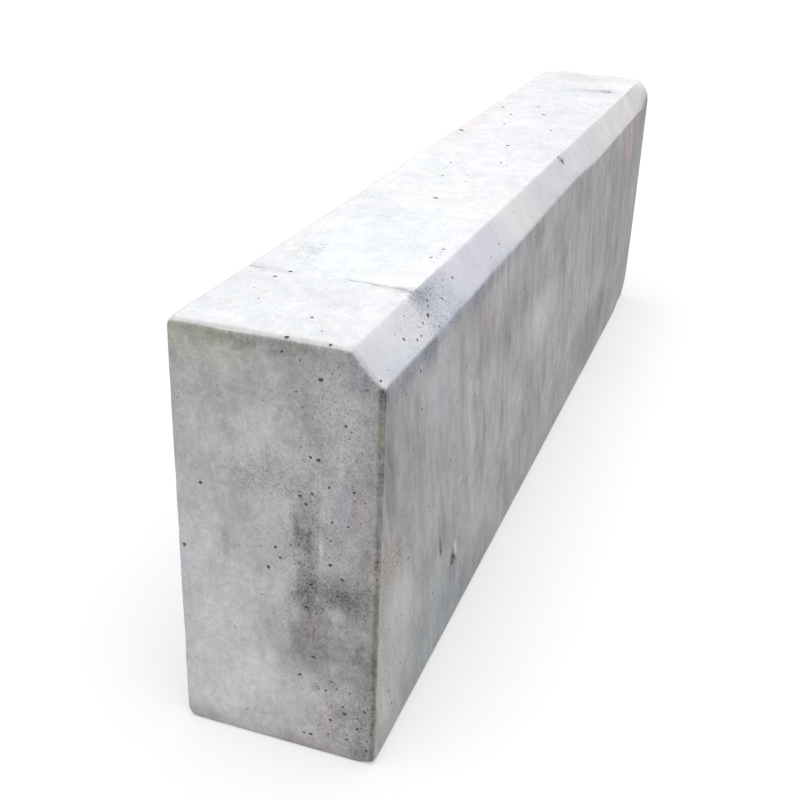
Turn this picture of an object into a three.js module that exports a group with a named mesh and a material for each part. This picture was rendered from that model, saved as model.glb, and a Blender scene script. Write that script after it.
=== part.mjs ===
// Concrete kerb stone: one straight length, cast in a single pour and stood on its foot.
//
// Millimetres. +X runs along the kerb, -Y is the road side, +Z is up.
// The origin is the centre of the foot, midway along the length and midway across the width.

import * as THREE from 'three';

// Overall block
const LENGTH = 1000; // end face to end face
const WIDTH = 140; // road face to back face
const HEIGHT = 300; // foot to top face

// Chamfer along the top arris of the road face
const CHAMFER_RUN = 21; // how far it cuts back into the top face
const CHAMFER_DROP = 21; // how far it cuts down into the road face

// Radii that the mould's corners leave on the long arrises
const FOOT_ROAD_RADIUS = 5;
const FOOT_BACK_RADIUS = 8;
const TOP_BACK_RADIUS = 5;
const CHAMFER_TOP_RADIUS = 3.5;
const CHAMFER_ROAD_RADIUS = 3.5;

// Radius round the rim of each end face
const END_ARRIS_RADIUS = 2.5;

// How finely the curves are faceted
const ARC_DIVISIONS = 4;
const END_ARRIS_SEGMENTS = 4;

const QUARTER_TURN = Math.PI / 2;

// A corner of the cross-section: x runs from the road side to the back, y runs up.
function corner(x, y, radius) {
  return { at: new THREE.Vector2(x, y), radius };
}

// Closed outline through the corners, taken anticlockwise. Each corner becomes an arc that is
// tangent to the two sides that meet there, and straight sides run from one arc to the next.
function roundedOutline(corners) {
  const outline = new THREE.Shape();
  corners.forEach(({ at, radius }, index) => {
    const before = corners[(index + corners.length - 1) % corners.length].at;
    const after = corners[(index + 1) % corners.length].at;
    const sideIn = at.clone().sub(before).normalize();
    const sideOut = after.clone().sub(at).normalize();
    const turn = Math.acos(sideIn.dot(sideOut));
    const setback = radius * Math.tan(turn / 2);
    const inward = new THREE.Vector2(-sideIn.y, sideIn.x);
    const start = at.clone().addScaledVector(sideIn, -setback);
    const centre = start.clone().addScaledVector(inward, radius);
    const startAngle = Math.atan2(-inward.y, -inward.x);
    outline.absarc(centre.x, centre.y, radius, startAngle, startAngle + turn, false);
  });
  outline.closePath();
  return outline;
}

// The section that every slice of the kerb shares: an upright rectangle whose top corner on the
// road side is cut off by the chamfer.
function kerbSection() {
  const roadSide = -WIDTH / 2;
  const backSide = WIDTH / 2;
  return roundedOutline([
    corner(roadSide, 0, FOOT_ROAD_RADIUS),
    corner(backSide, 0, FOOT_BACK_RADIUS),
    corner(backSide, HEIGHT, TOP_BACK_RADIUS),
    corner(roadSide + CHAMFER_RUN, HEIGHT, CHAMFER_TOP_RADIUS),
    corner(roadSide, HEIGHT - CHAMFER_DROP, CHAMFER_ROAD_RADIUS),
  ]);
}

// The section swept along the length. The rim of each end face is rounded inwards, so the block
// keeps its full width and height up to the start of the rounding, and its full length.
function kerbGeometry() {
  const straightLength = LENGTH - 2 * END_ARRIS_RADIUS;
  const geometry = new THREE.ExtrudeGeometry(kerbSection(), {
    depth: straightLength,
    curveSegments: ARC_DIVISIONS,
    bevelEnabled: true,
    bevelThickness: END_ARRIS_RADIUS,
    bevelSize: END_ARRIS_RADIUS,
    bevelOffset: -END_ARRIS_RADIUS,
    bevelSegments: END_ARRIS_SEGMENTS,
  });
  geometry.translate(0, 0, -straightLength / 2);
  geometry.rotateX(QUARTER_TURN);
  geometry.rotateZ(QUARTER_TURN);
  return geometry;
}

const concrete = new THREE.MeshStandardMaterial({
  color: 0xcbcbcb,
  roughness: 0.88,
  metalness: 0,
});

const kerbStone = new THREE.Mesh(kerbGeometry(), concrete);
kerbStone.name = 'kerb_stone';

const group = new THREE.Group();
group.add(kerbStone);

export default group;
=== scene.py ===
import math
import random

import bmesh
import bpy
from mathutils import Matrix, Vector, noise


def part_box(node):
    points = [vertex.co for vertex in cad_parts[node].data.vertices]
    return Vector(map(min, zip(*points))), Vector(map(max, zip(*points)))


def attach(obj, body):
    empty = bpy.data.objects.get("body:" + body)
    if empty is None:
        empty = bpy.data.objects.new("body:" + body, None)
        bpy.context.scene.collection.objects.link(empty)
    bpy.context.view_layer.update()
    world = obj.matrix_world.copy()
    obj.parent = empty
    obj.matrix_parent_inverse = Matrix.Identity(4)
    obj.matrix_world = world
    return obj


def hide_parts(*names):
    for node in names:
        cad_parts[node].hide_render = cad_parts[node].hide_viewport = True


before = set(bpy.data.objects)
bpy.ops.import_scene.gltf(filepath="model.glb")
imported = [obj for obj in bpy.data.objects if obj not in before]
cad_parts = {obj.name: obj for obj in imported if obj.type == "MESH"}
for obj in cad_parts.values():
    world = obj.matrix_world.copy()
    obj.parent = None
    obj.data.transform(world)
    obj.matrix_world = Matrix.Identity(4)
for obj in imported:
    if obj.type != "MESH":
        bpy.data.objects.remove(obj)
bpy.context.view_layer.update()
scene = bpy.context.scene


# ---------------------------------------------------------------------------------------------
# Camera. A hand-held view from just above one end of the kerb: it stands beside the road face,
# looks along the length and down on the top, and is tipped a little to one side.

CAMERA_PLACE = (-1.0435, -0.2624, 0.5468)
CAMERA_PITCH = math.radians(64.50)
CAMERA_TIP = math.radians(-1.94)
CAMERA_HEADING = math.radians(-70.39)
LENS_MM = 51.0
SENSOR_MM = 36.0
NEAREST_SEEN = 0.02

camera_data = bpy.data.cameras.new("camera")
camera_data.sensor_width = SENSOR_MM
camera_data.lens = LENS_MM
camera_data.clip_start = NEAREST_SEEN
camera = bpy.data.objects.new("camera", camera_data)
camera.location = CAMERA_PLACE
camera.rotation_euler = (CAMERA_PITCH, CAMERA_TIP, CAMERA_HEADING)
scene.collection.objects.link(camera)
scene.camera = camera


# ---------------------------------------------------------------------------------------------
# Studio. A wide pale floor, a broad soft light from above, as from a hazy sky, and a dim even
# surround. To the camera floor and surround are white, and the floor still takes the shadow.

FLOOR_HALF = 60.0
FLOOR_TONE = 0.50
FLOOR_LIFT = 0.40
SURROUND_TONE = (0.80, 0.83, 0.88)
SURROUND_STRENGTH = 0.20
SKYLIGHT_FROM = Vector((-0.11, -0.06, 1.0))
SKYLIGHT_SPREAD = math.radians(75)
SKYLIGHT_STRENGTH = 3.6


def white_to_the_eye(nodes, links):
    # 1 for rays that the camera sees straight on, in a mirror or through glass.
    path = nodes.new("ShaderNodeLightPath")
    seen = path.outputs["Is Camera Ray"]
    for ray in ("Is Glossy Ray", "Is Transmission Ray"):
        either = nodes.new("ShaderNodeMath")
        either.operation = "MAXIMUM"
        links.new(seen, either.inputs[0])
        links.new(path.outputs[ray], either.inputs[1])
        seen = either.outputs[0]
    return seen


def floor_finish():
    finish = bpy.data.materials.new("pale_floor")
    finish.use_nodes = True
    nodes, links = finish.node_tree.nodes, finish.node_tree.links
    nodes.clear()
    matt = nodes.new("ShaderNodeBsdfDiffuse")
    matt.inputs["Color"].default_value = (FLOOR_TONE, FLOOR_TONE, FLOOR_TONE, 1.0)
    glow = nodes.new("ShaderNodeEmission")
    lift = nodes.new("ShaderNodeMath")
    lift.operation = "MULTIPLY"
    lift.inputs[1].default_value = FLOOR_LIFT
    links.new(white_to_the_eye(nodes, links), lift.inputs[0])
    links.new(lift.outputs[0], glow.inputs["Strength"])
    both = nodes.new("ShaderNodeAddShader")
    links.new(matt.outputs[0], both.inputs[0])
    links.new(glow.outputs[0], both.inputs[1])
    out = nodes.new("ShaderNodeOutputMaterial")
    links.new(both.outputs[0], out.inputs["Surface"])
    return finish


def lay_floor():
    slab = bmesh.new()
    bmesh.ops.create_grid(slab, x_segments=1, y_segments=1, size=FLOOR_HALF)
    mesh = bpy.data.meshes.new("floor")
    slab.to_mesh(mesh)
    slab.free()
    mesh.materials.append(floor_finish())
    floor = bpy.data.objects.new("floor", mesh)
    scene.collection.objects.link(floor)


def light_surround():
    world = bpy.data.worlds.new("surround")
    scene.world = world
    world.use_nodes = True
    nodes, links = world.node_tree.nodes, world.node_tree.links
    nodes.clear()
    dim = nodes.new("ShaderNodeBackground")
    dim.inputs["Color"].default_value = (*SURROUND_TONE, 1.0)
    dim.inputs["Strength"].default_value = SURROUND_STRENGTH
    white = nodes.new("ShaderNodeBackground")
    white.inputs["Color"].default_value = (1.0, 1.0, 1.0, 1.0)
    white.inputs["Strength"].default_value = 1.0
    pick = nodes.new("ShaderNodeMixShader")
    links.new(white_to_the_eye(nodes, links), pick.inputs[0])
    links.new(dim.outputs[0], pick.inputs[1])
    links.new(white.outputs[0], pick.inputs[2])
    out = nodes.new("ShaderNodeOutputWorld")
    links.new(pick.outputs[0], out.inputs["Surface"])


def hang_skylight():
    lamp = bpy.data.lights.new("skylight", "SUN")
    lamp.angle = SKYLIGHT_SPREAD
    lamp.energy = SKYLIGHT_STRENGTH
    skylight = bpy.data.objects.new("skylight", lamp)
    skylight.rotation_euler = SKYLIGHT_FROM.to_track_quat("Z", "Y").to_euler()
    scene.collection.objects.link(skylight)


scene.view_settings.view_transform = "Standard"
lay_floor()
light_surround()
hang_skylight()


# ---------------------------------------------------------------------------------------------
# Kerb stone. One block of pale grey concrete, cast in a smooth mould and struck out whole, with
# a chamfer along the top arris of the road face, arrises rounded by the mould and small air
# holes where bubbles were trapped against its walls.

MM = 0.001
X, Y, Z = Vector((1, 0, 0)), Vector((0, 1, 0)), Vector((0, 0, 1))
low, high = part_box("kerb_stone")

# Section and arrises
CHAMFER = 21 * MM
FOOT_ROAD_RADIUS = 5 * MM
FOOT_BACK_RADIUS = 8 * MM
TOP_BACK_RADIUS = 5 * MM
CHAMFER_TOP_RADIUS = 3.5 * MM
CHAMFER_ROAD_RADIUS = 3.5 * MM
END_ARRIS_RADIUS = 2.5 * MM
ARRIS_SEGMENTS = 4

# Spacing of the cuts that divide the faces: close beside the arrises, wide between them
FINE_CUT = 2.5 * MM
WIDE_CUT = 5.0 * MM
ARRIS_BAND = 15 * MM
SNAP = 0.3 * MM


def long_edges(block, y, z):
    near = 0.01 * MM
    return [
        edge
        for edge in block.edges
        if all(abs(v.co.y - y) < near and abs(v.co.z - z) < near for v in edge.verts)
    ]


def bevel_edges(block, edges, offset, segments):
    bmesh.ops.bevel(
        block,
        geom=edges,
        offset=offset,
        offset_type="OFFSET",
        segments=segments,
        profile=0.5,
        affect="EDGES",
        material=-1,
    )


def cast_block():
    block = bmesh.new()
    bmesh.ops.create_cube(block, size=1.0)
    bmesh.ops.scale(block, vec=high - low, verts=block.verts)
    bmesh.ops.translate(block, vec=(low + high) / 2, verts=block.verts)
    bevel_edges(block, long_edges(block, low.y, high.z), CHAMFER, 1)
    square = math.radians(90)
    slanted = math.radians(45)
    for y, z, radius, turn in (
        (low.y, low.z, FOOT_ROAD_RADIUS, square),
        (high.y, low.z, FOOT_BACK_RADIUS, square),
        (high.y, high.z, TOP_BACK_RADIUS, square),
        (low.y + CHAMFER, high.z, CHAMFER_TOP_RADIUS, slanted),
        (low.y, high.z - CHAMFER, CHAMFER_ROAD_RADIUS, slanted),
    ):
        setback = radius * math.tan(turn / 2)
        bevel_edges(block, long_edges(block, y, z), setback, ARRIS_SEGMENTS)
    rims = [e for e in block.edges if abs(e.verts[0].co.x - e.verts[1].co.x) < SNAP]
    bevel_edges(block, rims, END_ARRIS_RADIUS, ARRIS_SEGMENTS)
    return block


def cut_stations(start, end):
    # Places to cut between two arrises, FINE_CUT apart in the bands beside them.
    stations = []
    place = start + 2 * FINE_CUT
    while place < end - FINE_CUT:
        stations.append(place)
        beside_arris = min(place - start, end - place) < ARRIS_BAND
        place += FINE_CUT if beside_arris else WIDE_CUT
    return stations


def slice_block(block, axis, station):
    everything = block.verts[:] + block.edges[:] + block.faces[:]
    bmesh.ops.bisect_plane(
        block, geom=everything, dist=SNAP, plane_co=axis * station, plane_no=axis
    )


def divide_lengths(block, longer_than, spacing):
    runs = {}
    for edge in block.edges:
        span = abs(edge.verts[0].co.x - edge.verts[1].co.x)
        if span > longer_than:
            runs.setdefault(round(span / spacing), []).append(edge)
    for pieces, edges in runs.items():
        bmesh.ops.subdivide_edges(block, edges=edges, cuts=pieces - 1, use_grid_fill=True)


def net_block(block):
    for station in cut_stations(low.y, high.y):
        slice_block(block, Y, station)
    for station in cut_stations(low.z, high.z):
        slice_block(block, Z, station)
    slice_block(block, X, low.x + ARRIS_BAND)
    slice_block(block, X, high.x - ARRIS_BAND)
    divide_lengths(block, longer_than=2 * ARRIS_BAND, spacing=WIDE_CUT)
    divide_lengths(block, longer_than=ARRIS_BAND / 2, spacing=FINE_CUT)


# The strip that formed the chamfer lay askew in the mould: it rolls from flatter to steeper along
# the kerb, and drops by a step beyond the middle
RUN_LOSS_NEAR = 0.8 * MM
RUN_LOSS_FAR = 8.4 * MM
DROP_GAIN_NEAR = 0.8 * MM
DROP_GAIN = 4.0 * MM
DROP_STEP = 5.2 * MM
STEP_FROM, STEP_TO = 30 * MM, 145 * MM
STRIP_END = 130 * MM
SPREAD = 40 * MM

# Towards the far end the chamfer is rounded, and stands proud of a flat between its arrises
END_SWELL = 3.8 * MM
SWELL_FROM = 430 * MM
SWELL_DEPTH = 12 * MM


def eased(value, start, end):
    share = min(1.0, max(0.0, (value - start) / (end - start)))
    return share * share * (3 - 2 * share)


def chamfer_run(x):
    share = (x - low.x) / (high.x - low.x)
    return CHAMFER - RUN_LOSS_NEAR - share * (RUN_LOSS_FAR - RUN_LOSS_NEAR)


def chamfer_drop(x):
    settled = eased(x, low.x, low.x + STRIP_END) * (DROP_GAIN - DROP_GAIN_NEAR)
    return CHAMFER + DROP_GAIN_NEAR + settled + eased(x, STEP_FROM, STEP_TO) * DROP_STEP


def moved(depth, wanted):
    # A depth from the road face or the top, once the chamfer has changed to the wanted size.
    if depth < CHAMFER:
        return depth * wanted / CHAMFER
    return depth + (wanted - CHAMFER) * max(0.0, 1 - (depth - CHAMFER) / SPREAD) ** 2


def swell(x, back, down):
    if back >= CHAMFER or down >= CHAMFER:
        return 0.0
    share = down / max(back + down, SNAP)
    below = max(0.0, 1 - (back + down - CHAMFER) / SWELL_DEPTH)
    return END_SWELL * 4 * share * (1 - share) * below * eased(x, SWELL_FROM, high.x)


def askew(point):
    back = point.y - low.y
    down = high.z - point.z
    run = CHAMFER + (chamfer_run(point.x) - CHAMFER) * (1 - eased(down, CHAMFER, CHAMFER + SPREAD))
    drop = CHAMFER + (chamfer_drop(point.x) - CHAMFER) * (1 - eased(back, CHAMFER, CHAMFER + SPREAD))
    proud = (Z - Y).normalized() * swell(point.x, back, down)
    return Vector((point.x, low.y + moved(back, run), high.z - moved(down, drop))) + proud


# Unevenness of the cast faces and rubbing of the arrises, always inwards from the true block
MOULD_WAVE = 0.5 * MM
MOULD_WAVE_LENGTH = 140 * MM
RIPPLE = 0.16 * MM
RIPPLE_LENGTH = 24 * MM
RIPPLE_SHIFT = X * 7
ARRIS_RUB = 0.6 * MM
ARRIS_RUB_REACH = 3.0 * MM
ARRIS_RUB_LENGTH = 22 * MM
ARRIS_RUB_SHIFT = Y * 13
ARRIS_RUB_SHARE = 0.1
FOOT_SETTLE = 5 * MM

# Corners and arrises knocked rounder than the rest: both ends of the place, depth and reach.
# A knocked place gives way towards the core of the block, which lies CORE_DEPTH inside.
CORE_DEPTH = 40 * MM
KNOCKED_REACH = 130 * MM
WORN_PLACES = (
    ((-500, 66, 300), (-500, -50, 300), 2.1, 10.0),
    ((-498, -44, 300), (-499, -50, 299), 3.4, 13.0),
    ((-500, -50, 299), (-500, -66, 283), 3.6, 13.0),
    ((-500, -70, 0), (-500, -66, 0), 1.8, 11.0),
    ((500, 20, 300), (500, -38, 300), 2.9, 14.0),
    ((500, -44, 300), (500, -53, 296), 4.6, 20.0),
    ((500, 70, 300), (500, 62, 300), 4.6, 20.0),
    ((500, 70, 300), (482, 70, 300), 3.4, 16.0),
    ((500, -70, 0), (460, -70, 0), 2.8, 60.0),
    ((500, -70, 0), (499, -70, 0), 5.0, 44.0),
)


def arris_distance(point):
    # How far a point of the true block is from its nearest arris.
    corners = (
        (low.y, low.z),
        (high.y, low.z),
        (high.y, high.z),
        (low.y + CHAMFER, high.z),
        (low.y, high.z - CHAMFER),
    )
    along = min(math.hypot(point.y - y, point.z - z) for y, z in corners)
    inside_section = min(
        point.y - low.y,
        high.y - point.y,
        point.z - low.z,
        high.z - point.z,
        (point.y - low.y + high.z - point.z - CHAMFER) / math.sqrt(2),
    )
    from_end = min(point.x - low.x, high.x - point.x)
    return min(along, math.hypot(from_end, max(inside_section, 0.0)))


def from_place(point, start, end):
    # Distance from a straight place on the block, in mm.
    start, end = Vector(start), Vector(end)
    along = end - start
    share = (point / MM - start).dot(along) / along.length_squared
    return (point / MM - start - along * min(1.0, max(0.0, share))).length


def core_point(point):
    # The nearest point of the sound core, CORE_DEPTH inside the block.
    inner_low = low + (X + Y + Z) * CORE_DEPTH
    inner_high = high - (X + Y + Z) * CORE_DEPTH
    return Vector(min(max(c, l), h) for c, l, h in zip(point, inner_low, inner_high))


def unevenness(point):
    # How far the face lies inside the true block. At the foot it comes down to nothing.
    wave = 0.5 + 0.5 * noise.noise(point / MOULD_WAVE_LENGTH)
    ripple = 0.5 + 0.5 * noise.noise(point / RIPPLE_LENGTH + RIPPLE_SHIFT)
    rubbing = noise.noise(point / ARRIS_RUB_LENGTH + ARRIS_RUB_SHIFT)
    rubbed = max(0.0, ARRIS_RUB_SHARE + rubbing)
    beside = math.exp(-((arris_distance(point) / ARRIS_RUB_REACH) ** 2))
    seated = min(1.0, (point.z - low.z) / FOOT_SETTLE)
    return seated * (MOULD_WAVE * wave + RIPPLE * ripple) + ARRIS_RUB * rubbed * beside


def knock(point):
    # The way that a point of the true block is knocked in. Nothing is knocked far from the ends.
    if min(point.x - low.x, high.x - point.x) > KNOCKED_REACH:
        return Vector()
    depth = max(
        depth * MM * max(0.0, 1 - from_place(point, start, end) / reach) ** 2
        for start, end, depth, reach in WORN_PLACES
    )
    return (core_point(point) - point).normalized() * depth


def weather_block(block):
    depths = [unevenness(vert.co) for vert in block.verts]
    knocks = [knock(vert.co) for vert in block.verts]
    for vert in block.verts:
        vert.co = askew(vert.co)
    block.normal_update()
    inward = [-vert.normal * depth for vert, depth in zip(block.verts, depths)]
    for vert, shift, knocked in zip(block.verts, inward, knocks):
        vert.co += shift + knocked


# The faces of the block, each with a point to measure from, two directions across it and the
# direction that it looks in. On the chamfer the second direction runs down from its top arris.
DOWN_CHAMFER = (-Y - Z).normalized()
FACES = {
    "near_end": (Vector((low.x, 0, 0)), Y, Z, -X),
    "far_end": (Vector((high.x, 0, 0)), Y, Z, X),
    "road": (Vector((0, low.y, 0)), X, Z, -Y),
    "back": (Vector((0, high.y, 0)), X, Z, Y),
    "top": (Vector((0, 0, high.z)), X, Y, Z),
    "foot": (Vector((0, 0, low.z)), X, Y, -Z),
    "chamfer": (Vector((0, low.y + CHAMFER, high.z)), X, DOWN_CHAMFER, (Z - Y).normalized()),
}

# The larger air holes and nicks, one by one: place on the face and width of the mouth, in mm
AIR_HOLES = {
    "near_end": (
        (5, 140, 2.8), (65, 142, 2.5), (-24, 225, 2.1), (-29, 224, 2.8), (-3, 149, 2.1),
        (-16, 61, 2.5), (51, 191, 2.7), (-45, 143, 2.5), (-25, 200, 2.0), (-24, 134, 2.5),
        (-30, 277, 3.0), (-21, 116, 2.8), (-17, 197, 2.3), (-21, 192, 2.4), (-37, 152, 2.6),
        (-24, 13, 2.8), (-19, 13, 1.9), (-26, 78, 3.0), (-50, 17, 2.1), (0, 156, 2.1),
        (-38, 183, 1.9), (-36, 207, 2.0), (-52, 207, 2.0), (-6, 290, 2.0), (-46, 250, 2.0),
        (-48, 38, 3.0), (-57, 28, 2.6), (-62, 44, 2.4), (-38, 30, 2.2), (-64, 12, 2.4),
    ),
    "chamfer": (
        (-400, 17, 3.4), (-337, 11, 2.7), (-412, 18, 2.3), (-395, 27, 2.0), (-432, 23, 2.3),
        (-393, 13, 1.9), (-424, 23, 1.9), (-497, 25, 1.7), (-446, 17, 2.3), (-389, 10, 2.4),
        (-369, 16, 2.2), (16, 7, 5.5), (11, 1.5, 3.2), (-231, 18, 2.0),
    ),
    "top": (
        (-466, -10, 2.5), (-396, 36, 2.9), (-409, 41, 2.8), (-307, -40, 2.7), (-328, -38, 2.5),
        (-181, 5, 4.2), (30, 0, 4.0), (195, 3, 5.0), (370, -35, 6.5), (76, 61, 5.5),
        (236, 18, 3.6), (215, 54, 4.4), (-499, -8, 3.2), (-499, -35, 2.4), (180, 36, 4.0),
        (-110, 22, 2.8), (-60, 30, 2.6), (-40, -12, 2.8), (120, -22, 3.4), (130, 30, 3.2),
    ),
    "road": (
        (-436, 264, 2.6), (-337, 67.5, 4.4), (-332, 64.5, 4.6), (-327.5, 60.5, 4.2),
        (-333.5, 71.3, 3.2), (-335, 60.4, 3.4), (-445, 132, 2.6), (-467, 29, 2.4),
        (-475, 45, 2.6), (-368, 91, 3.4), (20, 260, 3.0), (-300, 188, 2.0), (60, 266, 3.4),
    ),
}

# Smaller holes, strewn over whole faces and crowded in some places: face, range across, range
# up, how many, and widths of the smallest and largest, in mm
STREWN_HOLES = (
    ("near_end", (-66, 66), (4, 290), 60, (0.7, 1.5)),
    ("near_end", (-66, -14), (186, 288), 60, (0.7, 1.6)),
    ("near_end", (-64, -6), (96, 186), 70, (0.7, 1.8)),
    ("near_end", (-67, -28), (4, 62), 55, (0.7, 2.0)),
    ("far_end", (-64, 64), (5, 272), 80, (0.8, 3.0)),
    ("chamfer", (-450, -330), (3, 27), 34, (0.7, 1.7)),
    ("chamfer", (-490, 490), (3, 27), 50, (0.8, 2.0)),
    ("top", (-356, -330), (36, 52), 12, (0.8, 1.7)),
    ("top", (-350, -290), (-46, -34), 9, (0.8, 1.6)),
    ("top", (-150, 160), (-36, 52), 26, (0.9, 2.2)),
    ("top", (-490, 490), (-44, 62), 70, (0.7, 1.9)),
    ("road", (-496, -440), (122, 170), 22, (0.8, 1.9)),
    ("road", (-496, -380), (258, 274), 20, (0.8, 1.9)),
    ("road", (-496, -440), (8, 110), 22, (0.8, 2.0)),
    ("road", (-490, 490), (5, 268), 120, (0.8, 2.4)),
    ("back", (-490, 490), (5, 290), 190, (0.8, 3.2)),
    ("foot", (-490, 490), (-62, 62), 60, (1.0, 4.0)),
)
# The higher this is, the fewer of the strewn holes are large
MOSTLY_SMALL = 3
HOLE_SEED = 7

# A strewn hole stays this far from the others, and one narrower than SMALL_HOLE has fewer
# faces, in mm
HOLE_CLEARANCE = 0.5
SMALL_HOLE = 1.7

# Shape of a hole: how much it is drawn out, how deep it is for its width, and its lumps
HOLE_STRETCH = (0.85, 1.25)
HOLE_DEPTH = 0.85
LUMP_HEIGHT = 0.35
LUMPS_ACROSS = 1.4
LUMP_SEEDS = 50


def surface_point(face, across, up):
    # Where a place on a true face, in mm, ends up on the weathered block, and which way is out.
    origin, u, v, out = FACES[face]
    true_point = origin + u * across * MM + v * up * MM
    return askew(true_point) - out * unevenness(true_point) + knock(true_point), out


def add_bubble(cutters, centre, out, width, stretch, spin, rng):
    # One lumpy ball, drawn out along one direction of the face and flattened into it.
    steps = 1 if width < SMALL_HOLE else 2
    ball = bmesh.ops.create_icosphere(cutters, subdivisions=steps, radius=1.0)["verts"]
    seed = Vector((rng.random(), rng.random(), rng.random())) * LUMP_SEEDS
    for vert in ball:
        vert.co *= 1.0 + LUMP_HEIGHT * noise.noise(vert.co * LUMPS_ACROSS + seed)
    radius = width * MM / 2
    shape = Matrix.Diagonal((radius * stretch, radius / stretch, radius * HOLE_DEPTH, 1.0))
    lie = out.to_track_quat("Z", "Y").to_matrix().to_4x4() @ Matrix.Rotation(spin, 4, "Z")
    bmesh.ops.transform(cutters, matrix=Matrix.Translation(centre) @ lie @ shape, verts=ball)


def bubble_cutters():
    # Each strewn hole is first given its place, and then all the balls are made face by face.
    rng = random.Random(HOLE_SEED)
    cutters = bmesh.new()
    placed = {face: list(AIR_HOLES.get(face, ())) for face in FACES}
    for face, across_range, up_range, count, (smallest, largest) in STREWN_HOLES:
        for _ in range(count):
            across = rng.uniform(*across_range)
            up = rng.uniform(*up_range)
            width = smallest + (largest - smallest) * rng.random() ** MOSTLY_SMALL
            if all(
                math.hypot(across - a, up - b) > (width + w) / 2 + HOLE_CLEARANCE
                for a, b, w in placed[face]
            ):
                placed[face].append((across, up, width))
    for face, holes in placed.items():
        for across, up, width in holes:
            point, out = surface_point(face, across, up)
            stretch = rng.uniform(*HOLE_STRETCH)
            spin = rng.uniform(0, math.pi)
            add_bubble(cutters, point, out, width, stretch, spin, rng)
    return cutters


# Hairline cracks: face, both ends, width and depth, in mm. A crack wanders, and it closes where
# its floor rises above the surface.
HAIRLINES = (
    ("top", (-397, 71), (-396, 54), 1.2, 0.6),
    ("top", (-395, -4), (-398, -50), 1.0, 0.6),
    ("top", (370, -50), (369, 6), 1.2, 0.6),
    ("chamfer", (-389, 4), (-431, 28), 0.7, 0.35),
)
CRACK_STEP = 2.0
CRACK_WANDER = 0.9
CRACK_BEND = 9
CRACK_SEEDS_APART = 17.0
CRACK_OPENING = 0.6
CRACK_FLOOR = 0.15
ABOVE_SURFACE = 0.5


def crack_cutters(cutters):
    # Each crack is a thin bar along its line, with a floor narrower than its mouth.
    for number, (face, start, end, width, depth) in enumerate(HAIRLINES):
        length = math.dist(start, end)
        along = (Vector(end) - Vector(start)) / length
        aside = Vector((-along.y, along.x))
        groove = bmesh.new()
        bmesh.ops.create_cube(groove, size=1.0)
        long_way = [e for e in groove.edges if abs(e.verts[0].co.x - e.verts[1].co.x) > 0.5]
        cuts = round(length / CRACK_STEP)
        bmesh.ops.subdivide_edges(groove, edges=long_way, cuts=cuts, use_grid_fill=True)
        for vert in groove.verts:
            travelled = (vert.co.x + 0.5) * length
            seat = Vector((travelled / CRACK_BEND, number * CRACK_SEEDS_APART, 0))
            wander = CRACK_WANDER * noise.noise(seat)
            opening = CRACK_OPENING + CRACK_OPENING * noise.noise(seat * 1.7 + Z * 5)
            below = vert.co.z < 0
            lateral = wander + vert.co.y * width * (CRACK_FLOOR if below else 1.0)
            height = -depth * opening if below else ABOVE_SURFACE
            place = Vector(start) + along * travelled + aside * lateral
            point, out = surface_point(face, place.x, place.y)
            vert.co = point + out * height * MM
        bmesh.ops.recalc_face_normals(groove, faces=groove.faces)
        mesh = bpy.data.meshes.new("groove")
        groove.to_mesh(mesh)
        groove.free()
        cutters.from_mesh(mesh)
        bpy.data.meshes.remove(mesh)


def mark_faces(shape, inside_hole):
    # The cut carries this mark on, so that the finish knows the inside of a hole.
    layer = shape.faces.layers.float.new("hole")
    for face in shape.faces:
        face[layer] = inside_hole


def made_object(name, shape):
    mesh = bpy.data.meshes.new(name)
    shape.to_mesh(mesh)
    shape.free()
    piece = bpy.data.objects.new(name, mesh)
    scene.collection.objects.link(piece)
    return piece


# A cut that grazes the net leaves edges shorter than this, which are closed up
SLIVER = 0.0005 * MM


def cut_away(piece, cutter):
    # Takes the cutter's solids out of the piece, and then throws the cutter away.
    cut = piece.modifiers.new("cut", "BOOLEAN")
    cut.operation = "DIFFERENCE"
    cut.solver = "MANIFOLD"
    cut.object = cutter
    view = bpy.context.evaluated_depsgraph_get()
    piece.data = bpy.data.meshes.new_from_object(piece.evaluated_get(view))
    piece.modifiers.remove(cut)
    bpy.data.objects.remove(cutter)


def close_slivers(piece):
    # After a cut: faces with a slit in them are split up, needles go, and so do corners that lie
    # halfway along a straight edge.
    shape = bmesh.new()
    shape.from_mesh(piece.data)
    slit = [face for face in shape.faces if len(face.verts) > 4]
    bmesh.ops.triangulate(shape, faces=slit)
    bmesh.ops.dissolve_degenerate(shape, edges=shape.edges, dist=SLIVER)
    halfway = [vert for vert in shape.verts if len(vert.link_edges) == 2]
    bmesh.ops.dissolve_verts(shape, verts=halfway)
    shape.to_mesh(piece.data)
    shape.free()


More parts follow.
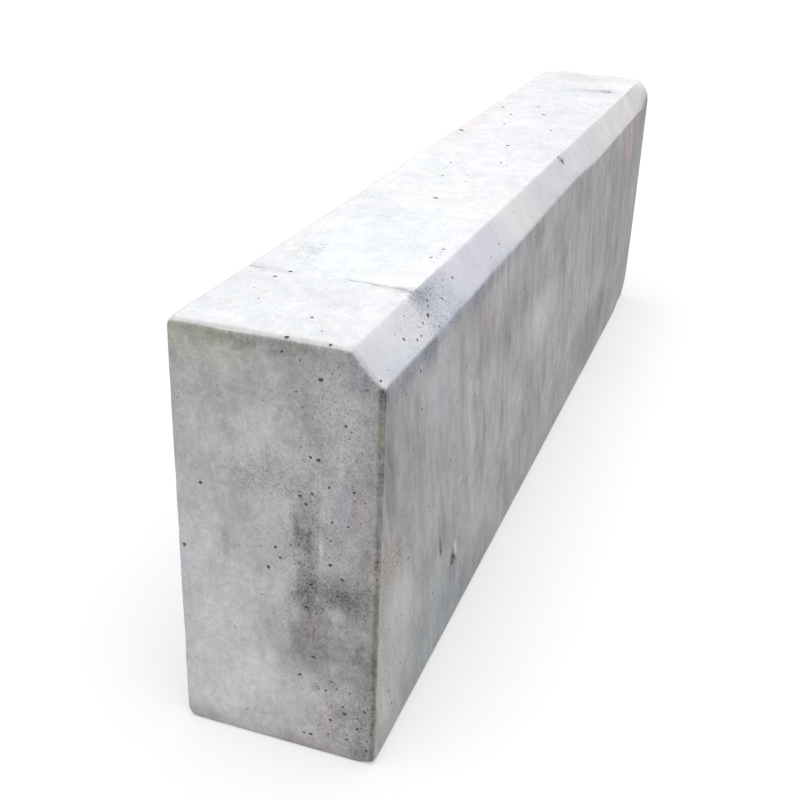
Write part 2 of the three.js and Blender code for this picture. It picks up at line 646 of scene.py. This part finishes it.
# Concrete. A tone is a share of the plain grey, and a patch changes red, green and blue by the
# shares given for it. Places and reaches are in mm, along, across and up the kerb.
GREY = 0.585
# Painted shade inside the air holes and cracks, as a share of the plain grey
HOLE_PAINTED_SHADE = 0.36
# The road face is painted darker all over: painted shade
ROAD_PAINTED_SHADE = -0.075
EVERYWHERE = 10000.0
# Face tints. The top and the chamfer are painted paler than the uprights, partly for a paler dry
# skin and partly as painted light from above
FACE_TINTS_AND_PAINTED_LIGHT = {
    "upright": (0.016, 0.004, 0.002),
    "top": (0.225, 0.24, 0.26),
    "chamfer": (0.095, 0.10, 0.155),
}
NEAR_END_PATCHES = (
    ((-500, 42, 62), (EVERYWHERE, 95, 130), 0.31),
    ((-500, 62, 190), (EVERYWHERE, 40, 90), 0.10),
    ((-500, 20, 230), (EVERYWHERE, 60, 34), 0.08),
    # Painted shade beneath the top arris
    ((-500, 0, 302), (EVERYWHERE, 150, 24), -0.26),
    ((-500, -74, 140), (EVERYWHERE, 30, 260), -0.25),
    # Painted shade along the chamfer's arris, near its lower end
    ((-500, -57, 284), (EVERYWHERE, 23, 21), (-0.29, -0.28, -0.25)),
    ((-500, -60, 110), (EVERYWHERE, 34, 74), -0.08),
    ((-500, -38, 126), (EVERYWHERE, 38, 26), -0.27),
    ((-500, -20, 132), (EVERYWHERE, 13, 24), (-0.32, -0.28, -0.28)),
    ((-500, -50, 127), (EVERYWHERE, 14, 14), (-0.12, -0.07, -0.09)),
    ((-500, -41, 113), (EVERYWHERE, 12, 8), 0.26),
    ((-500, -19, 174), (EVERYWHERE, 12, 46), -0.35),
    ((-500, -24, 86), (EVERYWHERE, 26, 40), -0.26),
    ((-500, -60, 22), (EVERYWHERE, 30, 40), -0.16),
    ((-500, -48, 38), (EVERYWHERE, 20, 9), -0.06),
    ((-500, 8, 206), (EVERYWHERE, 34, 20), -0.16),
    ((-500, -25, 250), (EVERYWHERE, 14, 26), -0.10),
    ((-500, -40, 190), (EVERYWHERE, 40, 30), 0.10),
    ((-500, 0, 0), (EVERYWHERE, 150, 16), -0.12),
    ((-500, -46, 190), (EVERYWHERE, 40, 80), (0.010, -0.012, 0.016)),
    ((-500, -30, 40), (EVERYWHERE, 50, 50), (0.02, -0.006, 0.0)),
    ((-500, 60, 290), (EVERYWHERE, 60, 24), (0.0, -0.015, -0.10)),
    ((-500, 68, 130), (EVERYWHERE, 18, 22), (-0.03, 0.0, 0.05)),
    ((-500, 50, 30), (EVERYWHERE, 40, 40), (0.012, 0.0, -0.02)),
    ((-500, -66, 251), (EVERYWHERE, 5, 12), (0.02, 0.01, -0.15)),
    ((-500, -68, 110), (EVERYWHERE, 7, 60), (0.02, 0.02, -0.09)),
    ((-500, -66, 157), (EVERYWHERE, 8, 18), (0.05, -0.02, -0.03)),
    ((-500, -28, 58), (EVERYWHERE, 7, 17), (0.05, 0.03, -0.03)),
    ((-500, -64, 72), (EVERYWHERE, 12, 34), -0.08),
    ((-500, -40, 2), (EVERYWHERE, 56, 10), (-0.04, -0.07, -0.09)),
    ((-500, 4, 222), (EVERYWHERE, 30, 66), 0.22),
    ((-500, 0, 182), (EVERYWHERE, 26, 30), 0.10),
    ((-500, -8, 92), (EVERYWHERE, 50, 34), -0.24),
    ((-500, -48, 196), (EVERYWHERE, 16, 28), -0.16),
    ((-500, -37, 132), (EVERYWHERE, 12, 13), -0.12),
    ((-500, 56, 4), (EVERYWHERE, 36, 16), -0.20),
    # Painted shade, a thin dark band just beneath the top arris
    ((-500, 20, 297), (EVERYWHERE, 84, 9), -0.16),
    ((-500, -33, 171), (EVERYWHERE, 18, 24), -0.14),
    ((-500, -50, 143), (EVERYWHERE, 17, 17), -0.17),
    ((-500, -18, 117), (EVERYWHERE, 16, 14), -0.16),
    ((-500, -44, 83), (EVERYWHERE, 17, 15), -0.12),
    ((-500, -63, 118), (EVERYWHERE, 14, 20), 0.12),
)
ROAD_PATCHES = (
    ((-75, -70, 172), (100, EVERYWHERE, 40), 0.17),
    ((220, -70, 50), (200, EVERYWHERE, 50), -0.20),
    ((-300, -70, 20), (190, EVERYWHERE, 40), -0.06),
    ((-468, -70, 70), (60, EVERYWHERE, 80), 0.18),
    ((-478, -70, 150), (46, EVERYWHERE, 26), -0.12),
    ((-190, -70, 70), (12, EVERYWHERE, 80), -0.14),
    ((-262, -70, 120), (10, EVERYWHERE, 70), -0.12),
    ((-210, -70, 218), (120, EVERYWHERE, 34), -0.12),
    ((-30, -70, 230), (34, EVERYWHERE, 24), -0.12),
    ((5, -70, 206), (30, EVERYWHERE, 20), -0.10),
    ((-400, -70, 160), (40, EVERYWHERE, 30), -0.08),
    ((-370, -70, 100), (26, EVERYWHERE, 20), -0.12),
    ((-440, -70, 200), (50, EVERYWHERE, 60), -0.10),
    # Painted shade over the far part of the road face
    ((440, -70, 200), (300, EVERYWHERE, 260), -0.10),
    ((-494, -70, 215), (26, EVERYWHERE, 75), -0.18),
    ((-400, -70, 235), (50, EVERYWHERE, 50), 0.13),
    ((-165, -70, 110), (44, EVERYWHERE, 50), 0.13),
    ((-130, -70, 258), (50, EVERYWHERE, 22), -0.10),
    ((-330, -70, 272), (260, EVERYWHERE, 14), (-0.15, -0.14, -0.08)),
    ((-310, -70, 258), (44, EVERYWHERE, 22), -0.08),
    ((-220, -70, 262), (44, EVERYWHERE, 20), 0.09),
    ((95, -70, 252), (110, EVERYWHERE, 34), -0.11),
    ((-440, -70, 268), (60, EVERYWHERE, 16), (-0.12, -0.11, -0.06)),
    ((-484, -70, 152), (50, EVERYWHERE, 34), (0.06, 0.005, -0.045)),
    ((-490, -70, 66), (26, EVERYWHERE, 100), (0.03, 0.02, -0.05)),
    ((-385, -70, 225), (50, EVERYWHERE, 44), (-0.01, -0.005, 0.03)),
    ((-360, -70, 30), (80, EVERYWHERE, 60), (-0.06, 0.0, 0.035)),
    ((-300, -70, 238), (60, EVERYWHERE, 24), (0.03, -0.02, 0.0)),
    ((380, -70, 255), (200, EVERYWHERE, 40), (0.07, 0.0, 0.01)),
    ((350, -70, 215), (50, EVERYWHERE, 60), (0.06, -0.02, 0.0)),
    ((440, -70, 200), (40, EVERYWHERE, 80), (0.0, 0.03, -0.03)),
    ((250, -70, 60), (200, EVERYWHERE, 60), (0.02, -0.01, 0.03)),
)
CHAMFER_PATCHES = (
    ((-376, -60, 290), (52, EVERYWHERE, EVERYWHERE), (-0.16, -0.15, -0.12)),
    ((-388, -54, 296), (30, 13, 13), -0.30),
    ((-466, -66, 283), (44, 10, 10), (-0.03, -0.01, 0.06)),
    ((-454, -60, 290), (60, EVERYWHERE, EVERYWHERE), (0.03, 0.03, 0.0)),
    ((-416, -60, 290), (9, EVERYWHERE, EVERYWHERE), 0.07),
    ((-290, -60, 290), (120, EVERYWHERE, EVERYWHERE), (0.0, 0.0, 0.04)),
    ((-160, -60, 290), (70, EVERYWHERE, EVERYWHERE), (0.0, 0.01, -0.05)),
    ((18, -56, 296), (18, 9, 9), -0.22),
    ((420, -60, 290), (560, EVERYWHERE, EVERYWHERE), 0.26),
    ((300, -60, 290), (260, EVERYWHERE, EVERYWHERE), (0.01, 0.0, -0.05)),
    ((-165, -60, 290), (90, EVERYWHERE, EVERYWHERE), 0.10),
    ((-500, -60, 290), (44, EVERYWHERE, EVERYWHERE), -0.06),
    ((350, -60, 290), (200, EVERYWHERE, EVERYWHERE), 0.07),
)
TOP_PATCHES = (
    ((-454, 0, 300), (75, EVERYWHERE, EVERYWHERE), -0.05),
    ((-304, 10, 300), (110, 50, EVERYWHERE), (-0.03, 0.02, 0.02)),
    ((-500, 0, 300), (26, EVERYWHERE, EVERYWHERE), -0.05),
    ((-396, 52, 300), (8, 34, EVERYWHERE), -0.14),
    ((-397, -36, 300), (7, 30, EVERYWHERE), -0.26),
    ((-396, -47, 300), (12, 12, EVERYWHERE), -0.20),
    ((-350, 42, 300), (24, 15, EVERYWHERE), -0.13),
    ((60, -20, 300), (180, 70, EVERYWHERE), (-0.03, -0.04, 0.0)),
    ((250, 0, 300), (260, EVERYWHERE, EVERYWHERE), -0.05),
    ((370, -20, 300), (14, 44, EVERYWHERE), -0.16),
    ((370, -35, 300), (26, 12, EVERYWHERE), (-0.16, -0.28, -0.24)),
    ((480, 10, 300), (80, 100, EVERYWHERE), (-0.06, -0.08, -0.11)),
    ((110, 62, 300), (170, 14, EVERYWHERE), (0.0, -0.05, -0.06)),
    ((120, 60, 300), (120, 20, EVERYWHERE), (0.02, -0.02, -0.01)),
)

# Small marks with clean edges: short stains and lime runs, which lean as the streaks do
STREAK_LEAN = 0.26
MARKS = (
    ((-500, 35, 152), (400, 4, 20), -0.18),
    ((-500, -31, 163), (400, 2.4, 12), 0.32),
    ((-500, -23, 166), (400, 3.5, 17), -0.20),
    ((-500, -14, 176), (400, 3, 12), -0.16),
    ((-500, -27, 54), (400, 3, 6), -0.24),
    ((-328, -70, 70), (6, 100, 12), 0.55),
    ((-333, -70, 64), (10, 100, 9), -0.45),
    ((-499, -69, 274), (8, 8, 12), -0.26),
    ((-369, -70, 95), (5.5, 100, 15), -0.38),
    ((-364, -70, 118), (6, 100, 40), -0.14),
    ((-203, -70, 126), (7, 100, 46), -0.18),
    ((-263, -70, 140), (7, 100, 44), -0.12),
    ((-325, -70, 129), (6, 100, 6), 0.16),
    ((-321, -70, 125), (5, 100, 5), -0.20),
    ((-296, -70, 193), (7, 100, 12), 0.22),
)

# Places where the skin is pitted, and how much more than elsewhere
PITTED_EVERYWHERE = 0.14
PITTED_PLACES = (
    ((-500, -34, 125), (12, 46, 60), 0.65),
    ((-500, -14, 172), (12, 22, 50), 0.75),
    ((-500, -42, 225), (12, 46, 90), 0.6),
    ((-500, -52, 24), (12, 40, 60), 0.9),
    ((-500, 8, 206), (12, 40, 26), 0.7),
    ((-384, -60, 290), (70, 30, 30), 1.2),
    ((-350, 42, 300), (26, 17, 8), 0.8),
    ((-480, -70, 148), (54, 12, 38), 1.6),
    ((-470, -70, 50), (50, 12, 60), 0.9),
    ((-400, -70, 270), (150, 12, 18), 0.9),
)

# Soft noise in the tone of the cement: sizes of the lumps in mm, seed and strength. Clouding
# on the chamfer and the top is a share of that on the uprights, and the road face has less too.
CLOUDING = (
    ((170, 170, 170), 1, 0.14),
    ((44, 44, 48), 2, 0.22),
    ((14, 14, 16), 3, 0.21),
    ((4.5, 4.5, 5), 4, 0.20),
)
GRAINS = ((1.5, 1.5, 1.6), 5, 0.27)
CLOUDING_ROAD_LESS = -0.35
CLOUDING_CHAMFER = 0.40
CLOUDING_TOP = 0.72
STREAKS = (((18, 18, 90), 6, 0.15), ((5, 5, 34), 7, 0.16))
STREAKS_COME_AND_GO = ((60, 60, 60), 8)
STREAKS_LEAST = 0.2
STREAKS_ROAD_MORE = 0.6
ROAD_CLOUDS = (((40, 40, 95), 24, 0.20), ((14, 14, 42), 25, 0.22))

# Dark and pale grains: size in mm, seed, where in the noise they start and are full, and tone
PEPPER = (
    ((1.3, 1.3, 1.5), 9, (0.16, 0.42), -0.42),
    ((1.5, 1.5, 1.5), 10, (0.20, 0.45), 0.16),
)

# Tinges of colour: sizes of the lumps in mm, seed and strength. They are weaker on the top.
TINGES = (((12, 12, 40), 33, 0.08), ((45, 45, 60), 36, 0.06))
TINGES_TOP, TINGES_UPRIGHT_MORE = 0.3, 0.7

# Fine relief, as lumps of these sizes and heights in mm, with their seeds
RELIEF = (((9, 9, 9), 11, 0.16), ((2.4, 2.4, 2.4), 12, 0.08), ((0.8, 0.8, 0.8), 13, 0.05))

# Ragged edges of the patches: size of the rags and how far they carry. A patch has its full
# colour within PATCH_CORE of its reach.
RAG_SIZE = 30 * MM
RAG_REACH = 34 * MM
RAG_DETAIL = 6.0
RAG_ROUGHNESS = 0.68
PATCH_CORE = 0.25

# Dark line beside the near upright arris, partly painted shade of the rounded arris and partly
# grime: where it starts and is full, across and up, its tone where it is weak and strong, and how
# much weaker it is on the end than on the arris
SHADE_AND_GRIME_ACROSS = (5.5, 2.5)
SHADE_AND_GRIME_UP = (284 * MM, 277 * MM)
SHADE_AND_GRIME_CLOUD = ((6, 6, 40), 21)
SHADE_AND_GRIME_TONES = (-0.18, -0.28)
SHADE_AND_GRIME_ON_ARRIS = 1.6
SHADE_AND_GRIME_END_LESS = -0.6
PEPPER_ACROSS = (3.0, 9.0)

# Gloss of the dry cement
ROUGHNESS = 0.86
ROUGHNESS_CLOUD = ((20, 20, 20), 14, 0.1)
SPECULAR = 0.3

# Each seed looks at another part of the noise, so many lumps further on
CLOUD_SEEDS_APART = (3.7, 5.3, 7.1)
HUE_SEEDS_APART = (2.9, 4.1, 6.7)
CLOUD_DETAIL = 2.0
CLOUD_ROUGHNESS = 0.55

# Which way a face looks where it begins to count as one kind, and where it does so in full
LEVEL = (0.90, 0.985)
SLANTING = (0.14, 0.26)
CLEAR_OF_END = (-0.92, -0.30)
ROADWARD = (-0.2, -0.4)
ON_NEAR_END = (-0.66, -0.98)
ON_NEAR_RIM = (-0.10, -0.45)
ON_ROAD = (-0.80, -0.95)


class ConcreteMix:
    # The finish's nodes. Each call adds one step and returns what comes out of it.

    def __init__(self, finish):
        self.nodes = finish.node_tree.nodes
        self.links = finish.node_tree.links
        surface = self.nodes.new("ShaderNodeTexCoord")
        self.place = surface.outputs["Object"]
        self.facing = surface.outputs["Normal"]

    def feed(self, socket, value):
        if isinstance(value, bpy.types.NodeSocket):
            self.links.new(value, socket)
        else:
            socket.default_value = value

    def math(self, operation, *values):
        step = self.nodes.new("ShaderNodeMath")
        step.operation = operation
        for socket, value in zip(step.inputs, values):
            self.feed(socket, value)
        return step.outputs[0]

    def vector(self, operation, *values):
        step = self.nodes.new("ShaderNodeVectorMath")
        step.operation = operation
        for socket, value in zip(step.inputs, values):
            self.feed(socket, value)
        return step.outputs["Value" if operation == "LENGTH" else "Vector"]

    def scaled(self, colour, share):
        step = self.nodes.new("ShaderNodeVectorMath")
        step.operation = "SCALE"
        self.feed(step.inputs["Vector"], colour)
        self.feed(step.inputs["Scale"], share)
        return step.outputs["Vector"]

    def parts(self, value):
        split = self.nodes.new("ShaderNodeSeparateXYZ")
        self.links.new(value, split.inputs[0])
        return split.outputs

    def total(self, *values):
        result = values[0]
        for value in values[1:]:
            result = self.math("ADD", result, value)
        return result

    def product(self, *values):
        result = values[0]
        for value in values[1:]:
            result = self.math("MULTIPLY", result, value)
        return result

    def window(self, value, start, end, before=0.0, after=1.0):
        # Eases from one value to another as the input goes from start to end.
        ease = self.nodes.new("ShaderNodeMapRange")
        ease.interpolation_type = "SMOOTHSTEP"
        rising = start < end
        self.feed(ease.inputs["Value"], value)
        ease.inputs["From Min"].default_value = start if rising else end
        ease.inputs["From Max"].default_value = end if rising else start
        ease.inputs["To Min"].default_value = before if rising else after
        ease.inputs["To Max"].default_value = after if rising else before
        return ease.outputs["Result"]

    def cloud(self, sizes, seed, strength=1.0, detail=CLOUD_DETAIL, ground=None):
        # Soft noise about 0, with lumps of the given sizes along, across and up, in mm.
        scale = tuple(1 / (size * MM) for size in sizes)
        shift = tuple(seed * apart for apart in CLOUD_SEEDS_APART)
        texture = self.nodes.new("ShaderNodeTexNoise")
        texture.inputs["Scale"].default_value = 1.0
        texture.inputs["Detail"].default_value = detail
        texture.inputs["Roughness"].default_value = CLOUD_ROUGHNESS
        stretched = self.vector("MULTIPLY_ADD", ground or self.place, scale, shift)
        self.links.new(stretched, texture.inputs["Vector"])
        return self.math("MULTIPLY_ADD", texture.outputs["Fac"], 2 * strength, -strength)

    def clouds(self, layers, ground=None):
        return self.total(*(self.cloud(*layer, ground=ground) for layer in layers))

    def hues(self, sizes, seed, strength):
        # Faint tinges of red, green and blue, in lumps of the given sizes.
        scale = tuple(1 / (size * MM) for size in sizes)
        shift = tuple(seed * apart for apart in HUE_SEEDS_APART)
        texture = self.nodes.new("ShaderNodeTexNoise")
        texture.inputs["Scale"].default_value = 1.0
        stretched = self.vector("MULTIPLY_ADD", self.place, scale, shift)
        self.links.new(stretched, texture.inputs["Vector"])
        centred = self.vector("SUBTRACT", texture.outputs["Color"], (0.5, 0.5, 0.5))
        return self.scaled(centred, strength)

    def patches(self, ground, spots):
        # Sum of soft-edged patches, each with its centre, its reach and its change of colour.
        result = (0.0, 0.0, 0.0)
        for centre, reach, change in spots:
            scale = tuple(1 / (r * MM) for r in reach)
            shift = tuple(-c / r for c, r in zip(centre, reach))
            away = self.vector("LENGTH", self.vector("MULTIPLY_ADD", ground, scale, shift))
            colour = change if isinstance(change, tuple) else (change,) * 3
            soft = self.window(away, 1.0, PATCH_CORE)
            result = self.vector("ADD", result, self.scaled(colour, soft))
        return result


def face_shares(mix):
    # Which face a point is on, 0 to 1, by the way it faces.
    along, across, up = mix.parts(mix.facing)
    top = mix.window(up, *LEVEL)
    slanting = mix.product(mix.window(up, *SLANTING), mix.window(along, *CLEAR_OF_END))
    roadward = mix.window(across, *ROADWARD)
    return {
        "top": top,
        "chamfer": mix.product(slanting, roadward, mix.math("SUBTRACT", 1.0, top)),
        "upright": mix.math("SUBTRACT", 1.0, slanting),
        "near_end": mix.window(along, *ON_NEAR_END),
        "near_rim": mix.window(along, *ON_NEAR_RIM),
        "road": mix.window(across, *ON_ROAD),
    }


def ragged_ground(mix):
    # Ground that wanders, so that patches laid on it have ragged edges.
    rags = mix.nodes.new("ShaderNodeTexNoise")
    rags.inputs["Scale"].default_value = 1 / RAG_SIZE
    rags.inputs["Detail"].default_value = RAG_DETAIL
    rags.inputs["Roughness"].default_value = RAG_ROUGHNESS
    mix.links.new(mix.place, rags.inputs["Vector"])
    centred = mix.vector("SUBTRACT", rags.outputs["Color"], (0.5, 0.5, 0.5))
    return mix.vector("MULTIPLY_ADD", centred, (RAG_REACH,) * 3, mix.place)


def skin_tones(mix, faces, leaning, pitted):
    # Clouding of the cement skin, from hand-wide lumps down to single grains, and the leaning
    # streaks left by wiping out the mould.
    road, upright = faces["road"], faces["upright"]
    calm = mix.total(
        mix.product(upright, mix.math("MULTIPLY_ADD", road, CLOUDING_ROAD_LESS, 1.0)),
        mix.product(faces["chamfer"], CLOUDING_CHAMFER),
        mix.product(faces["top"], CLOUDING_TOP),
    )
    grainy = mix.math("MULTIPLY_ADD", pitted, 0.8, 0.9)
    streaked = mix.window(mix.cloud(*STREAKS_COME_AND_GO), -0.35, 0.35, STREAKS_LEAST, 1.0)
    on_road = mix.math("MULTIPLY_ADD", road, STREAKS_ROAD_MORE, 1.0)
    return mix.total(
        mix.product(mix.clouds(CLOUDING), calm),
        mix.product(mix.cloud(*GRAINS), calm, grainy),
        mix.product(mix.clouds(STREAKS, leaning), streaked, upright, on_road),
        mix.product(mix.clouds(ROAD_CLOUDS, leaning), road),
    )


def arris_shade_grime_and_pepper(mix, faces, pitted):
    # The dark line beside the near upright arris, partly painted shade and partly grime, and beyond
    # it the pepper of dark grains and pinholes where the skin is pitted.
    along, across, up = mix.parts(mix.place)
    from_arris = mix.total(
        mix.math("MULTIPLY_ADD", along, 1 / MM, -low.x / MM),
        mix.math("MULTIPLY_ADD", across, 1 / MM, -low.y / MM),
    )
    # Dark line beside the arris: partly painted shade, partly grime
    shade_and_grime = mix.product(
        mix.window(from_arris, *SHADE_AND_GRIME_ACROSS),
        faces["near_rim"],
        mix.window(up, *SHADE_AND_GRIME_UP),
        mix.window(mix.cloud(*SHADE_AND_GRIME_CLOUD), -0.6, 0.2, *SHADE_AND_GRIME_TONES),
        mix.math("MULTIPLY_ADD", faces["near_end"], SHADE_AND_GRIME_END_LESS, SHADE_AND_GRIME_ON_ARRIS),
    )
    grains = mix.total(
        *(
            mix.window(mix.cloud(sizes, seed, detail=1.0), start, full, 0.0, tone)
            for sizes, seed, (start, full), tone in PEPPER
        )
    )
    return mix.total(mix.product(grains, pitted, mix.window(from_arris, *PEPPER_ACROSS)), shade_and_grime)


def stains_and_painted_light(mix, faces, ground, leaning):
    # The stains of each face with painted shade among them, the clean-edged marks, the faint tinges,
    # and the face tints, which paint the top and the chamfer paler partly as painted light.
    leaned = [((x + STREAK_LEAN * z, y, z), reach, change) for (x, y, z), reach, change in MARKS]
    tinges = mix.vector("ADD", *(mix.hues(*layer) for layer in TINGES))
    fading = mix.math("MULTIPLY_ADD", faces["upright"], TINGES_UPRIGHT_MORE, TINGES_TOP)
    result = mix.vector(
        "ADD",
        mix.scaled(mix.patches(leaning, leaned), faces["upright"]),
        mix.scaled(tinges, fading),
    )
    for face, spots in (
        ("near_end", NEAR_END_PATCHES),
        ("road", ROAD_PATCHES),
        ("chamfer", CHAMFER_PATCHES),
        ("top", TOP_PATCHES),
    ):
        result = mix.vector("ADD", result, mix.scaled(mix.patches(ground, spots), faces[face]))
    # Face tints, with the top and the chamfer painted paler partly as painted light
    for face, tint in FACE_TINTS_AND_PAINTED_LIGHT.items():
        result = mix.vector("ADD", result, mix.scaled(tint, faces[face]))
    return result


def concrete_finish():
    finish = bpy.data.materials.new("cast_concrete")
    finish.use_nodes = True
    mix = ConcreteMix(finish)
    faces = face_shares(mix)
    ground = ragged_ground(mix)
    leaning = mix.vector("MULTIPLY_ADD", mix.parts(mix.place)[2], (STREAK_LEAN, 0, 0), mix.place)
    pits = mix.patches(ground, PITTED_PLACES)
    pitted = mix.total(PITTED_EVERYWHERE, mix.parts(pits)[0])
    tones = mix.total(
        skin_tones(mix, faces, leaning, pitted),
        arris_shade_grime_and_pepper(mix, faces, pitted),
        mix.product(faces["road"], ROAD_PAINTED_SHADE),
        1.0,
    )
    whole = mix.vector("ADD", stains_and_painted_light(mix, faces, ground, leaning), tones)

    # Painted shade inside the air holes and cracks: their faces are darker than the cement around
    # them
    inside = mix.nodes.new("ShaderNodeAttribute")
    inside.attribute_name = "hole"
    painted_hole_shade = mix.window(inside.outputs["Fac"], 0.0, 1.0, GREY, HOLE_PAINTED_SHADE * GREY)

    bump = mix.nodes.new("ShaderNodeBump")
    bump.inputs["Strength"].default_value = 1.0
    bump.inputs["Distance"].default_value = MM
    mix.links.new(mix.clouds(RELIEF), bump.inputs["Height"])

    shader = mix.nodes["Principled BSDF"]
    shader.inputs["Specular IOR Level"].default_value = SPECULAR
    roughness = mix.math("ADD", ROUGHNESS, mix.cloud(*ROUGHNESS_CLOUD))
    mix.links.new(mix.scaled(whole, painted_hole_shade), shader.inputs["Base Color"])
    mix.links.new(roughness, shader.inputs["Roughness"])
    mix.links.new(bump.outputs["Normal"], shader.inputs["Normal"])
    return finish


# Edges that turn by more than this stay sharp to the eye
SHARP_ANGLE = math.radians(50)

block = cast_block()
net_block(block)
weather_block(block)
mark_faces(block, 0.0)
cutters = bubble_cutters()
crack_cutters(cutters)
mark_faces(cutters, 1.0)
kerb = made_object("kerb_stone_cast", block)
cut_away(kerb, made_object("bubbles", cutters))
close_slivers(kerb)
kerb.data.shade_smooth()
kerb.data.set_sharp_from_angle(angle=SHARP_ANGLE)
kerb.data.materials.clear()
kerb.data.materials.append(concrete_finish())
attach(kerb, "root")
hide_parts("kerb_stone")
